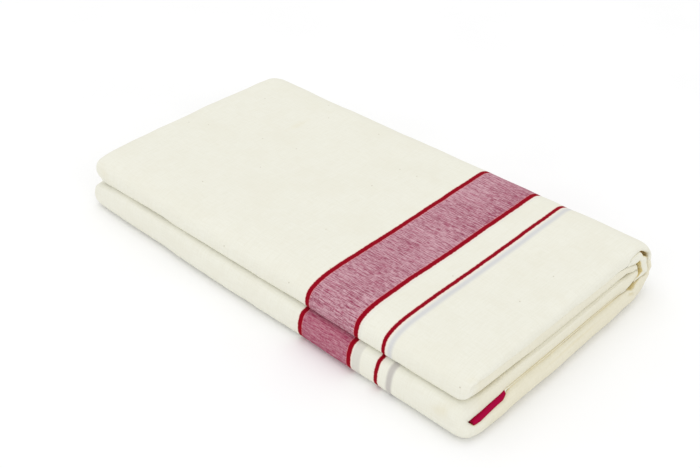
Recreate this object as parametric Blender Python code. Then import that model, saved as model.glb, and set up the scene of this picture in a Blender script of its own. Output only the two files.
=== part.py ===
"""A dhoti cloth folded into a long flat pad and lying on a table.

The pad is one uncut rectangle of cotton, folded in three across its width and
then over and over along its length. The last fold is in half, so the pad is a
horseshoe in section: an upper and a lower stack, joined round a spine at +Y,
with a thin gap between them that opens at the near side, -Y. The pad's long
side runs along X, and at both short ends the layers roll over and show as
rounded noses. Lengths in the tables are millimetres.
"""
import math

import bmesh
import bpy

MM = 0.001
PART_NAME = "folded_dhoti"

# Section of the pad, seen along X
SPINE_CENTRE_Y = 95.5
SPINE_CENTRE_Z = 25.1
SPINE_RADIUS = 25.1
GAP_HALF = 0.5
GAP_Z = 24.6
GAP_MOUTH_Y = -100.0

# near nose of the upper stack, from the gap's mouth up to the flat top
UPPER_NOSE = (
    # y, z
    (-104.5, 25.6),
    (-109.2, 27.0),
    (-112.1, 30.6),
    (-113.0, 35.4),
    (-111.4, 40.2),
    (-107.6, 43.8),
    (-101.6, 46.3),
    (-93.6, 47.8),
    (-82.0, 48.7),
)

# near nose of the lower stack, from the underside round to the gap's mouth
LOWER_NOSE = (
    # y, z
    (-108.0, 0.0),
    (-114.6, 1.0),
    (-118.8, 4.0),
    (-120.4, 8.8),
    (-120.1, 14.4),
    (-117.8, 18.8),
    (-113.4, 21.9),
    (-107.6, 23.4),
)

# flat top of the upper stack
TOP = (
    # y, z
    (-62.0, 49.2),
    (-30.0, 49.2),
    (2.0, 49.2),
    (34.0, 49.4),
    (66.0, 50.0),
)

NOSE_POINTS = 9
SPINE_POINTS = 13
CREASE_POINTS = 9
FLAT_POINTS = 6

# Slit between the rolled lips at each end: it follows the horseshoe
SLIT_NOSE_Y = -101.0
SLIT_UPPER_Z = 40.2
SLIT_LOWER_Z = 14.6
SLIT_HALF = 1.4
LENS_CENTRE_Y = -91.0
LENS_HALF_LENGTH = 24.0
LENS_EXTRA = 0.9
SPINE_SLIT_RADIUS = 15.4
SPINE_SLIT_OUT = 6.3
SPINE_SLIT_IN = 3.4
SPINE_SLIT_SQUARENESS = 4
SPINE_BLEND = 34.0

# Short ends: where the crest of each rolled nose lies, by height
RIGHT_CREST = (
    # z, x
    (0.0, 216.2),
    (7.0, 217.0),
    (19.0, 212.8),
    (32.0, 209.2),
    (44.0, 207.4),
    (50.5, 207.0),
)
LEFT_CREST = (
    # z, x
    (0.0, -216.4),
    (7.0, -217.0),
    (19.0, -216.0),
    (32.0, -214.4),
    (44.0, -213.6),
    (50.5, -213.4),
)
CREST_FRACTION = 0.55
ROLL_LENGTH = 10.0
GROOVE_DEPTH = 5.0
LIP_ANGLES = (0.0, 26.0, 50.0, 72.0, 92.0, 118.0, 150.0, 180.0)
BODY_RINGS = 5

# How the ends run out of square: the lower stack at right, the upper one at left
RIGHT_SKEW = (
    # y, shift in x
    (-20.0, 0.0),
    (60.0, -1.6),
    (95.0, -2.8),
    (120.0, -6.0),
)
RIGHT_SKEW_Z = (30.0, 10.0)
LEFT_SKEW = (
    # y, shift in x
    (-100.0, 0.0),
    (-40.0, -2.4),
    (40.0, -3.6),
    (120.0, -3.4),
)
LEFT_SKEW_Z = (22.0, 48.0)

# Cloth
WALL = 1.4
CLEARANCE = 0.45

# Solid of hidden layers, inside the wall
CORE_INSET = WALL + CLEARANCE
CORE_DEPTH = 7.6
CORE_ROLL = 4.0
CORE_ROLL_ANGLES = (0.0, 40.0, 90.0)

# Folds that show in the slits
FOLD_ROOT = 6.2
FOLD_CLEARANCE = 0.7
FOLD_NOSE_POINTS = 7
FOLD_ARM_STATIONS = 11
FOLD_TURN_STATIONS = 13
TINY = 1e-6

# How far each fold's nose lies behind the lips' crests
FOLD_RECESS_IN_STACK = 3.0
FOLD_RECESS_AT_SPINE = 0.8
FOLD_RECESS_AT_LENS = 1.4
LENS_BLEND = (-54.0, -80.0)
SECOND_FOLD_LEAST = 1.0

# Gentle waves: share of height added round a centre
HEIGHT_WAVES = (
    # share, x, y, reach x, reach y
    (-0.016, -150.0, -40.0, 70.0, 60.0),
    (0.012, 20.0, 60.0, 90.0, 50.0),
    (-0.012, 150.0, 10.0, 60.0, 90.0),
    (0.010, 90.0, -90.0, 60.0, 40.0),
)
NEAR_SIDE_Y = (-60.0, -118.0)
NEAR_SIDE_Z = (34.0, 16.0)
SIDE_WAVES = (
    # shift of the lower stack's near side in y, x, reach x
    (2.6, -216.0, 40.0),
    (-0.9, 20.0, 120.0),
    (-0.7, 160.0, 60.0),
)

# At the left near corner the lower stack sinks and the gap opens
SINK_SHARE = 0.16
SINK_CENTRE = (-214.0, -112.0)
SINK_REACH = (26.0, 40.0)

# Shift that puts the origin midway between the near and the far side
CENTRE_SHIFT_Y = 0.45

# Colours, linear
CREAM = (0.847, 0.823, 0.723, 1.0)
CREAM_SHADE = (0.768, 0.730, 0.604, 1.0)
CRIMSON = (0.376, 0.002, 0.017, 1.0)


def blend(low, high, value):
    """A smooth step from 0 at low to 1 at high."""
    share = min(max((value - low) / (high - low), 0.0), 1.0)
    return share * share * (3.0 - 2.0 * share)


def read_table(rows, key):
    """Straight-line reading of a two-column table."""
    if key <= rows[0][0]:
        return rows[0][1]
    for low, high in zip(rows, rows[1:]):
        if key <= high[0]:
            share = (key - low[0]) / (high[0] - low[0])
            return low[1] + share * (high[1] - low[1])
    return rows[-1][1]


def smooth_run(rows, count):
    """Points spread evenly along a Catmull-Rom curve through the rows."""
    ends = [tuple(2 * a - b for a, b in zip(rows[0], rows[1]))]
    tail = [tuple(2 * a - b for a, b in zip(rows[-1], rows[-2]))]
    knots = ends + list(rows) + tail
    result = []
    for index in range(count):
        place = index * (len(rows) - 1) / (count - 1)
        span = min(int(place), len(rows) - 2)
        t = place - span
        p0, p1, p2, p3 = knots[span:span + 4]
        result.append(tuple(
            0.5 * (2 * b + (c - a) * t + (2 * a - 5 * b + 4 * c - d) * t * t
                   + (3 * b - a - 3 * c + d) * t ** 3)
            for a, b, c, d in zip(p0, p1, p2, p3)))
    return result


def arc(centre, radius, start, stop, count):
    """Points of an arc in the section, angles in degrees from +Y."""
    result = []
    for index in range(count):
        angle = math.radians(start + (stop - start) * index / (count - 1))
        result.append((centre[0] + radius * math.cos(angle), centre[1] + radius * math.sin(angle)))
    return result


def flat_run(start, stop, count):
    """Points along a straight run, without its two ends."""
    return [tuple(a + (b - a) * (index + 1) / (count + 1) for a, b in zip(start, stop))
            for index in range(count)]


def section():
    """The pad's outline as (y, z, is upper stack, is on the gap's side)."""
    spine = arc((SPINE_CENTRE_Y, SPINE_CENTRE_Z), SPINE_RADIUS, 90, -90, SPINE_POINTS)
    crease = arc((SPINE_CENTRE_Y, GAP_Z), GAP_HALF, -90, 90, CREASE_POINTS)
    upper_nose = smooth_run(UPPER_NOSE, NOSE_POINTS)
    lower_nose = smooth_run(LOWER_NOSE, NOSE_POINTS)
    lower_mouth = (GAP_MOUTH_Y, GAP_Z - GAP_HALF)
    upper_mouth = (GAP_MOUTH_Y, GAP_Z + GAP_HALF)
    runs = (
        (upper_nose, True, False),
        (list(TOP), True, False),
        (spine, None, False),
        (flat_run(spine[-1], lower_nose[0], FLAT_POINTS), False, False),
        (lower_nose, False, False),
        ([lower_mouth] + flat_run(lower_mouth, crease[0], FLAT_POINTS), False, True),
        (crease, None, True),
        (flat_run(crease[-1], upper_mouth, FLAT_POINTS) + [upper_mouth], True, True),
    )
    result = []
    for points, upper, inner in runs:
        for y, z in points:
            result.append((y, z, z > GAP_Z if upper is None else upper, inner))
    return result


def inward(points):
    """Unit directions into the cloth at each point of a closed outline."""
    result = []
    for index, point in enumerate(points):
        before = points[index - 1]
        after = points[(index + 1) % len(points)]
        dy = after[0] - before[0]
        dz = after[1] - before[1]
        length = math.hypot(dy, dz)
        result.append((dz / length, -dy / length))
    return result


def slit_frame(y, z, upper):
    """Centre of the slit nearest to a place, as (y, z, unit y, unit z, spine share)."""
    if y > SPINE_CENTRE_Y:
        angle = math.atan2(z - GAP_Z, y - SPINE_CENTRE_Y)
        radius_top = SLIT_UPPER_Z - GAP_Z
        radius_bottom = GAP_Z - SLIT_LOWER_Z
        side = math.sin(angle)
        radius = SPINE_SLIT_RADIUS
        if side > 0.0:
            radius += (radius_top - radius) * side ** SPINE_SLIT_SQUARENESS
        else:
            radius += (radius_bottom - radius) * side ** SPINE_SLIT_SQUARENESS
        return (SPINE_CENTRE_Y + radius * math.cos(angle), GAP_Z + radius * math.sin(angle),
                math.cos(angle), math.sin(angle), 1.0)
    centre_y = max(y, SLIT_NOSE_Y)
    share = blend(SPINE_CENTRE_Y - SPINE_BLEND, SPINE_CENTRE_Y, centre_y)
    if upper:
        return centre_y, SLIT_UPPER_Z, 0.0, 1.0, share
    return centre_y, SLIT_LOWER_Z, 0.0, -1.0, share


def slit_halves(y, upper, share, right):
    """Half widths of the slit on its outer and inner side."""
    outer = SLIT_HALF
    inner = SLIT_HALF
    if right:
        outer += (SPINE_SLIT_OUT - SLIT_HALF) * share
        inner += (SPINE_SLIT_IN - SLIT_HALF) * share
        if not upper:
            reach = max(1.0 - abs(y - LENS_CENTRE_Y) / LENS_HALF_LENGTH, 0.0)
            outer += LENS_EXTRA * blend(0.0, 1.0, reach)
            inner += LENS_EXTRA * blend(0.0, 1.0, reach)
    return outer, inner


def crest_x(y, z, right):
    """How far out a nose's crest lies at one short end."""
    if right:
        return read_table(RIGHT_CREST, z) + read_table(RIGHT_SKEW, y) * blend(*RIGHT_SKEW_Z, z)
    return read_table(LEFT_CREST, z) + read_table(LEFT_SKEW, y) * blend(*LEFT_SKEW_Z, z)


def lip_target(y, z, upper, inner, right, inset):
    """Where a lip that starts at (y, z) ends, beside the slit."""
    slit_y, slit_z, _, _, share = slit_frame(y, z, upper)
    outer_half, inner_half = slit_halves(slit_y, upper, share, right)
    half = (inner_half if inner else outer_half) + inset
    distance = math.hypot(y - slit_y, z - slit_z)
    return (slit_y + (y - slit_y) * half / distance, slit_z + (z - slit_z) * half / distance)


def warp(x, y, z):
    """The pad's gentle unevenness; the underside stays flat."""
    lift = 1.0
    for share, centre_x, centre_y, reach_x, reach_y in HEIGHT_WAVES:
        lift += share * math.exp(-((x - centre_x) / reach_x) ** 2 - ((y - centre_y) / reach_y) ** 2)
    sink_x = (x - SINK_CENTRE[0]) / SINK_REACH[0]
    sink_y = (y - SINK_CENTRE[1]) / SINK_REACH[1]
    below_gap = blend(GAP_Z + GAP_HALF, GAP_Z - GAP_HALF, z)
    lift -= SINK_SHARE * below_gap * math.exp(-sink_x ** 2 - sink_y ** 2)
    near = blend(*NEAR_SIDE_Y, y) * blend(*NEAR_SIDE_Z, z)
    shift = 0.0
    for depth, centre_x, reach_x in SIDE_WAVES:
        shift += depth * math.exp(-((x - centre_x) / reach_x) ** 2)
    return (x * MM, (y + shift * near + CENTRE_SHIFT_Y) * MM, z * lift * MM)


def wall_rings(inset):
    """Rings of the outer cloth, from the left slit over the body to the right one."""
    outline = section()
    plain = [(y, z) for y, z, _, _ in outline]
    steps = inward(plain)
    shell = []
    for (y, z, upper, inner), (in_y, in_z) in zip(outline, steps):
        shell.append((y + in_y * inset, z + in_z * inset, upper, inner, y, z))
    ends = {}
    for right in (False, True):
        sign = 1.0 if right else -1.0
        rings = []
        for degrees in LIP_ANGLES:
            angle = math.radians(degrees)
            ring = []
            for y, z, upper, inner, outer_y, outer_z in shell:
                goal = lip_target(outer_y, outer_z, upper, inner, right, inset)
                if degrees <= 90.0:
                    share = CREST_FRACTION * (1.0 - math.cos(angle))
                    back = (ROLL_LENGTH - inset) * (1.0 - math.sin(angle))
                else:
                    turn = angle - math.pi / 2
                    share = CREST_FRACTION + (1.0 - CREST_FRACTION) * math.sin(turn)
                    back = (GROOVE_DEPTH - inset) * (1.0 - math.cos(turn))
                crest_y = outer_y + CREST_FRACTION * (goal[0] - outer_y)
                crest_z = outer_z + CREST_FRACTION * (goal[1] - outer_z)
                crest = crest_x(crest_y, crest_z, right)
                ring.append((crest - sign * (back + inset),
                             y + (goal[0] - y) * share, z + (goal[1] - z) * share))
            rings.append(ring)
        ends[right] = rings
    body = []
    for index in range(1, BODY_RINGS + 1):
        share = index / (BODY_RINGS + 1)
        ring = []
        for left_point, right_point in zip(ends[False][0], ends[True][0]):
            ring.append(tuple(a + (b - a) * share for a, b in zip(left_point, right_point)))
        body.append(ring)
    return list(reversed(ends[False])) + body + ends[True]


def add_rings(shape, rings):
    """Vertices for rings of (x, y, z)."""
    return [[shape.verts.new(warp(*point)) for point in ring] for ring in rings]


def skin(shape, rings):
    """Quads between neighbouring closed rings."""
    for low, high in zip(rings, rings[1:]):
        count = len(low)
        for index in range(count):
            after = (index + 1) % count
            shape.faces.new((low[index], low[after], high[after], high[index]))


def new_object(name, shape, material, collection):
    """Turn a finished shape into a named, smooth-shaded object."""
    bmesh.ops.recalc_face_normals(shape, faces=shape.faces)
    mesh = bpy.data.meshes.new(name)
    shape.to_mesh(mesh)
    shape.free()
    mesh.shade_smooth()
    mesh.set_sharp_from_angle(angle=math.radians(50.0))
    mesh.materials.append(material)
    piece = bpy.data.objects.new(name, mesh)
    collection.objects.link(piece)
    return piece


def build_outer_cloth(material, collection):
    """The outermost stretch of cloth: a wall all round both stacks, rolled in at the ends."""
    shape = bmesh.new()
    outside = add_rings(shape, wall_rings(0.0))
    inside = add_rings(shape, wall_rings(WALL))
    skin(shape, outside)
    skin(shape, [list(ring) for ring in reversed(inside)])
    skin(shape, [inside[0], outside[0]])
    skin(shape, [outside[-1], inside[-1]])
    return new_object("outer_cloth", shape, material, collection)


def slit_line(right):
    """Stations along the slit: the upper stack, the turn round the spine, the lower stack."""
    places = []
    for index in range(FOLD_ARM_STATIONS):
        run = (SPINE_CENTRE_Y - SLIT_NOSE_Y) * index / FOLD_ARM_STATIONS
        places.append((SLIT_NOSE_Y + run, SLIT_UPPER_Z, True))
    for index in range(FOLD_TURN_STATIONS):
        angle = math.pi * (0.5 - index / (FOLD_TURN_STATIONS - 1))
        out = max(math.cos(angle), TINY)
        places.append((SPINE_CENTRE_Y + out, GAP_Z + math.sin(angle), angle > 0.0))
    for y, _, _ in reversed(places[:FOLD_ARM_STATIONS]):
        places.append((y, SLIT_LOWER_Z, False))
    stations = []
    for place_y, place_z, upper in places:
        y, z, out_y, out_z, share = slit_frame(place_y, place_z, upper)
        outer_half, inner_half = slit_halves(y, upper, share, right)
        stations.append((y, z, out_y, out_z, outer_half, inner_half, share))
    return stations


def core_rings():
    """Rings of the solid of hidden layers and the height line its ends close on."""
    outline = section()
    steps = inward([(y, z) for y, z, _, _ in outline])
    ends = {}
    for right in (False, True):
        sign = 1.0 if right else -1.0
        rings = []
        for degrees in CORE_ROLL_ANGLES:
            angle = math.radians(degrees)
            depth = CORE_INSET + CORE_ROLL * (1.0 - math.cos(angle))
            back = CORE_DEPTH + CORE_ROLL * (1.0 - math.sin(angle))
            ring = []
            for (y, z, upper, inner), (in_y, in_z) in zip(outline, steps):
                goal = lip_target(y, z, upper, inner, right, 0.0)
                crest_y = y + CREST_FRACTION * (goal[0] - y)
                crest_z = z + CREST_FRACTION * (goal[1] - z)
                ring.append((crest_x(crest_y, crest_z, right) - sign * back,
                             y + in_y * depth, z + in_z * depth))
            rings.append(ring)
        ends[right] = rings
    body = []
    for index in range(1, BODY_RINGS + 1):
        share = index / (BODY_RINGS + 1)
        body.append([tuple(a + (b - a) * share for a, b in zip(low, high))
                     for low, high in zip(ends[False][0], ends[True][0])])
    return list(reversed(ends[False])) + body + ends[True]


def close_end(shape, ring, right):
    """Close an end of the hidden layers onto the line that runs midway between its sides."""
    outline = section()
    sign = 1.0 if right else -1.0
    line = []
    for y, z, _, _, _, _, _ in slit_line(right)[1:-1]:
        line.append((crest_x(y, z, right) - sign * CORE_DEPTH, y, z))
    centre = [shape.verts.new(warp(*point)) for point in line]
    nearest = []
    for y, z, upper, inner in outline:
        slit_y, slit_z, _, _, _ = slit_frame(y, z, upper)
        best = min(range(len(line)),
                   key=lambda index: math.hypot(line[index][1] - slit_y, line[index][2] - slit_z))
        nearest.append(best)
    count = len(ring)
    for index in range(count):
        after = (index + 1) % count
        shape.faces.new((ring[index], ring[after], centre[nearest[index]]))
        step = 1 if nearest[after] > nearest[index] else -1
        for link in range(nearest[index], nearest[after], step):
            shape.faces.new((ring[after], centre[link + step], centre[link]))


def build_hidden_layers(material, collection):
    """One rounded solid for the layers that the outer cloth hides."""
    shape = bmesh.new()
    rings = add_rings(shape, core_rings())
    skin(shape, rings)
    close_end(shape, rings[0], False)
    close_end(shape, rings[-1], True)
    return new_object("hidden_layers", shape, material, collection)


def build_fold(name, stations, right, material, collection):
    """One fold's nose: stations are (y, z, out y, out z, low, high, recess)."""
    sign = 1.0 if right else -1.0
    shape = bmesh.new()
    rings = []
    for y, z, out_y, out_z, low, high, recess in stations:
        middle = (low + high) / 2
        half = (high - low) / 2
        profile = [(low, FOLD_ROOT)]
        for index in range(FOLD_NOSE_POINTS):
            angle = math.pi * (index / (FOLD_NOSE_POINTS - 1) - 0.5)
            profile.append((middle + half * math.sin(angle), recess + half * (1.0 - math.cos(angle))))
        profile.append((high, FOLD_ROOT))
        ring = []
        for across, back in profile:
            point_y = y + out_y * across
            point_z = z + out_z * across
            ring.append((crest_x(point_y, point_z, right) - sign * back, point_y, point_z))
        rings.append(ring)
    made = add_rings(shape, rings)
    skin(shape, made)
    shape.faces.new(made[0])
    shape.faces.new(list(reversed(made[-1])))
    return new_object(name, shape, material, collection)


def inner_fold_edges(outer_half, inner_half, share, right):
    """Sides of the fold next to the inner lip; at the spine it leaves room for a second one."""
    low = FOLD_CLEARANCE - inner_half
    high = outer_half - FOLD_CLEARANCE
    if right:
        high += (-CLEARANCE / 2 - high) * share
    return low, high


def inner_fold_stations(right):
    """The fold next to the inner lip, all along the slit."""
    stations = []
    for y, z, out_y, out_z, outer_half, inner_half, share in slit_line(right):
        low, high = inner_fold_edges(outer_half, inner_half, share, right)
        recess = FOLD_RECESS_IN_STACK + (FOLD_RECESS_AT_SPINE - FOLD_RECESS_IN_STACK) * share
        if right and z < GAP_Z:
            recess += (FOLD_RECESS_AT_LENS - recess) * blend(*LENS_BLEND, y)
        stations.append((y, z, out_y, out_z, low, high, recess))
    return stations


def second_fold_stations():
    """The fold between the outer lip and the inner fold, round the spine only."""
    stations = []
    for y, z, out_y, out_z, outer_half, inner_half, share in slit_line(True):
        _, inner_high = inner_fold_edges(outer_half, inner_half, share, True)
        low = inner_high + CLEARANCE
        high = outer_half - FOLD_CLEARANCE
        if high - low > SECOND_FOLD_LEAST:
            stations.append((y, z, out_y, out_z, low, high, FOLD_RECESS_AT_SPINE))
    return stations


def cloth_material(name, colour):
    """A matt woven cotton."""
    material = bpy.data.materials.new(name)
    material.use_nodes = True
    shader = material.node_tree.nodes["Principled BSDF"]
    shader.inputs["Base Color"].default_value = colour
    shader.inputs["Roughness"].default_value = 0.9
    shader.inputs["Metallic"].default_value = 0.0
    return material


def main():
    for old in list(bpy.data.objects):
        bpy.data.objects.remove(old)
    collection = bpy.data.collections.new(PART_NAME)
    bpy.context.scene.collection.children.link(collection)
    build_outer_cloth(cloth_material("cream_cotton", CREAM), collection)
    build_hidden_layers(cloth_material("cream_cotton_inside", CREAM_SHADE), collection)
    build_fold("right_striped_fold", inner_fold_stations(True), True,
               cloth_material("crimson_stripe_cotton", CRIMSON), collection)
    build_fold("right_second_fold", second_fold_stations(), True,
               cloth_material("cream_cotton_second", CREAM), collection)
    build_fold("left_inner_fold", inner_fold_stations(False), False,
               cloth_material("cream_cotton_left", CREAM_SHADE), collection)


main()
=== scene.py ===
"""Dresses the frame of a folded dhoti cloth that lies on a table.

The pad is one uncut cloth. It is a horseshoe in section, an upper and a lower
stack joined round a spine at +Y, and its layers roll over at both short ends.
Places and sizes in the tables are millimetres, and the meshes are in metres.
"""

import math

import bpy
import numpy as np
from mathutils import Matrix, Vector, noise


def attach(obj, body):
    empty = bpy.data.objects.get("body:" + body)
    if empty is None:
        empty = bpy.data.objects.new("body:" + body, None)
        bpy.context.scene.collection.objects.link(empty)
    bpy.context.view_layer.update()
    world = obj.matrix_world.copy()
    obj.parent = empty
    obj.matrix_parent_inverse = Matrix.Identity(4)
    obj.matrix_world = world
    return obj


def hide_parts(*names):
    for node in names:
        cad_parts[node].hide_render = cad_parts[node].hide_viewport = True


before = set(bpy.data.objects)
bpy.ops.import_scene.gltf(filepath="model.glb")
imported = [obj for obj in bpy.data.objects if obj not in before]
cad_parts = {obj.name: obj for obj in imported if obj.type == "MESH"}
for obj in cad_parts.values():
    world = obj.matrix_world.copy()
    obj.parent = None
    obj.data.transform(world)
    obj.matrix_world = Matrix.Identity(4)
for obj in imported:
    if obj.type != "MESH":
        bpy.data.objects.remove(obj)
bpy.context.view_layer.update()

bl_info = {
    "name": "Folded dhoti cloth",
    "version": (1, 0, 0),
    "blender": (4, 5, 0),
    "location": "3D View > Sidebar > Dhoti",
    "description": "Makes a folded handwoven cotton cloth with a crimson border",
    "category": "Add Mesh",
}

MM = 0.001
BODY = "root"

# Section of the pad, seen along X
SPINE_CENTRE_Y = 95.5
SPINE_CENTRE_Z = 25.1
SPINE_RADIUS = 25.1
GAP_HALF = 0.5
GAP_Z = 28.4
GAP_MOUTH_Y = -100.0
UPPER_NOSE = (
    # y, z, from the gap's mouth up to the flat top
    (-110.6, 27.4), (-112.9, 28.5), (-113.9, 31.4), (-113.6, 36.2), (-111.6, 40.7),
    (-107.6, 44.0), (-101.6, 46.3), (-93.6, 47.8), (-82.0, 48.7),
)
LOWER_NOSE = (
    # y, z, from the underside round to the gap's mouth
    (-108.0, 0.0), (-114.6, 1.0), (-118.8, 4.0), (-120.4, 8.8), (-120.3, 15.0),
    (-119.0, 21.2), (-116.4, 25.0), (-112.0, 26.5),
)
TOP = (
    # y, z
    (-62.0, 49.2), (-30.0, 49.2), (2.0, 49.2), (34.0, 49.4), (66.0, 50.0),
)
NOSE_POINTS = 28
TOP_POINTS = 66
SPINE_POINTS = 72
UNDERSIDE_POINTS = 46
GAP_POINTS = 50
CREASE_POINTS = 33
TOP_BUNCHING = 0.45
ARM_BUNCHING = 0.72

# Slit between the rolled lips at each short end: it runs along the upper stack,
# turns round the spine and comes back along the lower stack. A place on it is
# its y on the upper arm, and goes on from there round the turn and back.
TURN_LENGTH = 60.0
TURN_START = SPINE_CENTRE_Y
TURN_END = TURN_START + TURN_LENGTH
RIGHT_SLIT = (
    # place, then distances from the middle of the gap: outer lip's edge, seam between
    # the two folds, inner lip's edge; then how deep the outer and the inner lip go
    (-106.0, 12.4, 12.4, 11.9, 0.6, 0.6),
    (-60.0, 11.7, 11.7, 11.2, 0.5, 0.5),
    (0.0, 10.9, 10.9, 10.4, 0.4, 0.4),
    (60.0, 9.9, 9.9, 9.4, 0.4, 0.5),
    (80.0, 9.4, 9.3, 8.7, 0.5, 0.6),
    (82.5, 9.9, 9.0, 8.5, 0.3, 0.6),
    (84.5, 11.4, 8.8, 8.2, 0.3, 0.7),
    (87.0, 14.4, 8.3, 7.5, 0.3, 1.0),
    (91.0, 15.3, 7.7, 6.4, 0.3, 1.4),
    (95.5, 15.6, 7.2, 4.9, 0.3, 1.8),
    (99.0, 15.4, 7.4, 3.8, 0.7, 2.0),
    (103.0, 15.2, 7.8, 2.8, 2.4, 2.0),
    (107.0, 15.1, 7.8, 1.8, 4.0, 2.2),
    (111.0, 15.3, 7.6, 1.1, 4.4, 2.2),
    (115.0, 16.4, 7.6, 0.7, 4.4, 2.4),
    (118.0, 17.8, 7.4, 0.5, 4.0, 2.4),
    (121.0, 18.6, 7.4, 0.5, 3.2, 2.4),
    (125.5, 17.8, 7.8, 0.9, 2.4, 2.4),
    (131.0, 18.4, 9.0, 1.7, 2.2, 2.4),
    (136.0, 19.6, 9.2, 2.7, 2.2, 2.2),
    (139.0, 16.9, 8.5, 3.5, 2.2, 2.0),
    (142.0, 12.7, 7.5, 4.3, 2.4, 1.8),
    (146.0, 10.4, 7.0, 5.3, 2.2, 1.6),
    (151.0, 9.3, 6.8, 6.0, 2.2, 1.4),
    (156.0, 9.0, 7.2, 6.6, 2.8, 1.2),
    (159.0, 9.8, 8.6, 7.2, 3.4, 1.2),
    (161.5, 11.4, 11.4, 8.6, 2.8, 1.4),
    (164.5, 12.0, 12.0, 9.4, 3.0, 1.4),
    (167.5, 11.4, 11.4, 10.3, 4.0, 0.9),
    (171.0, 11.2, 11.2, 10.3, 5.0, 0.6),
    (200.0, 10.9, 10.9, 10.2, 5.4, 0.5),
    (251.0, 10.9, 10.9, 10.2, 5.8, 0.5),
    (300.0, 10.9, 10.9, 10.2, 5.8, 0.5),
    (320.5, 11.1, 11.1, 10.2, 5.4, 0.6),
    (324.0, 11.5, 11.5, 10.2, 5.0, 0.7),
    (326.0, 13.2, 13.2, 10.8, 4.2, 0.7),
    (328.5, 14.5, 14.5, 11.1, 3.6, 0.7),
    (332.0, 14.9, 14.9, 11.4, 3.4, 0.7),
    (341.0, 15.3, 15.3, 11.9, 3.2, 0.7),
    (349.0, 15.8, 15.8, 12.6, 3.0, 0.7),
    (354.0, 16.2, 16.2, 13.2, 2.8, 0.7),
    (357.5, 16.5, 16.5, 13.7, 2.4, 0.7),
    (360.0, 16.6, 16.6, 14.3, 2.0, 0.7),
    (361.8, 16.3, 16.3, 15.5, 1.6, 0.7),
)
LEFT_SLIT = (
    # the same on the left end, which has one plain fold
    (-107.0, 12.1, 12.1, 11.9, 0.7, 0.7),
    (-100.0, 12.5, 12.5, 11.4, 1.8, 1.8),
    (95.5, 12.9, 12.9, 11.5, 2.4, 2.4),
    (125.5, 16.6, 16.6, 15.0, 2.8, 2.8),
    (155.5, 15.0, 15.0, 13.6, 2.4, 2.4),
    (350.0, 14.4, 14.4, 13.3, 2.0, 2.0),
    (358.0, 14.0, 14.0, 13.8, 0.7, 0.7),
)
SLIT_SAMPLES = 900
LIP_TAIL = 3
TAIL_STEP = 1.5

# Short ends: where the crest of each rolled nose lies, by height
RIGHT_CREST = (
    # z, x
    (0.0, 216.6), (6.0, 217.5), (9.5, 217.3), (13.0, 214.6), (17.5, 211.0), (22.0, 210.4),
    (27.0, 207.2), (36.0, 206.9), (44.0, 207.2), (50.5, 207.1),
)
LEFT_CREST = (
    # z, x
    (0.0, -216.4), (7.0, -217.0), (19.0, -216.0), (32.0, -214.4), (44.0, -213.6), (50.5, -213.4),
)
RIGHT_SKEW = (
    # y, shift in x of the lower stack
    (-112.0, -1.6), (-70.0, -0.2), (-20.0, 0.3), (60.0, -0.8), (95.0, -2.0), (120.0, -4.6),
)
RIGHT_SKEW_Z = (30.0, 10.0)
RIGHT_BULGE = (
    # y, shift in x of the middle of the height, towards the spine
    (72.0, 0.0), (90.0, 2.3), (121.0, 3.2),
)
RIGHT_BULGE_Z = (9.0, 17.0, 41.0, 50.5)
LEFT_SKEW = (
    # y, shift in x of the upper stack
    (-100.0, 0.0), (-40.0, -2.4), (40.0, -3.6), (120.0, -3.4),
)
LEFT_SKEW_Z = (22.0, 48.0)
RIGHT_CORNERS = (
    # y, pull of the whole nose towards the middle: the pad's corners are rounded
    (-121.0, 5.5), (-117.0, 3.0), (-112.0, 1.2), (-104.0, 0.0), (108.0, 0.0), (121.0, 0.6),
)
LEFT_CORNERS = (
    # y, pull of the whole nose towards the middle
    (-121.0, 2.0), (-110.0, 0.5), (-100.0, 0.0), (84.0, 0.0), (98.0, 1.4), (108.0, 3.8),
    (115.0, 7.0), (121.0, 11.0),
)
CREST_FRACTION = 0.55
ROLL_LENGTH = 10.0
RIGHT_GAP_ROLL = (
    # y, length of the lower, then of the upper nose's roll beside the gap
    (-112.0, 5.0, 5.0), (-96.0, 3.4, 3.0), (-50.0, 2.4, 1.6), (-34.0, 0.7, 0.5),
    (70.0, 0.7, 0.5), (80.0, 3.0, 2.4), (85.0, 4.0, 4.0), (91.0, 1.4, 1.4), (95.5, 0.8, 0.8),
)
LEFT_GAP_ROLL = (
    # y, length of the lower, then of the upper nose's roll beside the gap
    (-112.0, 15.0, 15.0), (-96.0, 9.0, 9.0), (-60.0, 5.0, 5.0), (90.0, 3.0, 3.0),
)
PINCH = (
    # y, half of the gap at the short ends: the stacks press together away from the corner
    (-110.0, 0.5), (-84.0, 0.42), (-40.0, 0.08), (76.0, 0.05), (83.0, 0.8), (89.0, 0.1),
    (95.4, 0.1), (95.5, 0.5),
)
PINCH_REACH = 26.0
LIP_STEPS = 17
BODY_RINGS = 70

# Layers under the outer cloth: they close the ends behind the folds
CORE_INSET = 1.85
CORE_DEPTH = 7.6
CORE_ROLL = 4.0
CORE_ROLL_ANGLES = (0.0, 30.0, 60.0, 90.0)
CORE_CLOSING = (0.4, 0.75, 0.98)
CORE_STEP = 3
CORE_RINGS = 24

# Gentle waves: share of height added round a centre
HEIGHT_WAVES = (
    # share, x, y, reach x, reach y
    (-0.016, -150.0, -40.0, 70.0, 60.0),
    (0.012, 20.0, 60.0, 90.0, 50.0),
    (-0.012, 150.0, 10.0, 60.0, 90.0),
    (0.010, 90.0, -90.0, 60.0, 40.0),
)
NEAR_SIDE_Y = (-60.0, -118.0)
NEAR_SIDE_Z = (34.0, 16.0)
SIDE_WAVES = (
    # shift of the lower stack's near side in y, x, reach x
    (2.6, -216.0, 40.0), (1.3, -135.0, 55.0), (-0.9, 20.0, 120.0), (-0.7, 160.0, 60.0),
)

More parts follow.
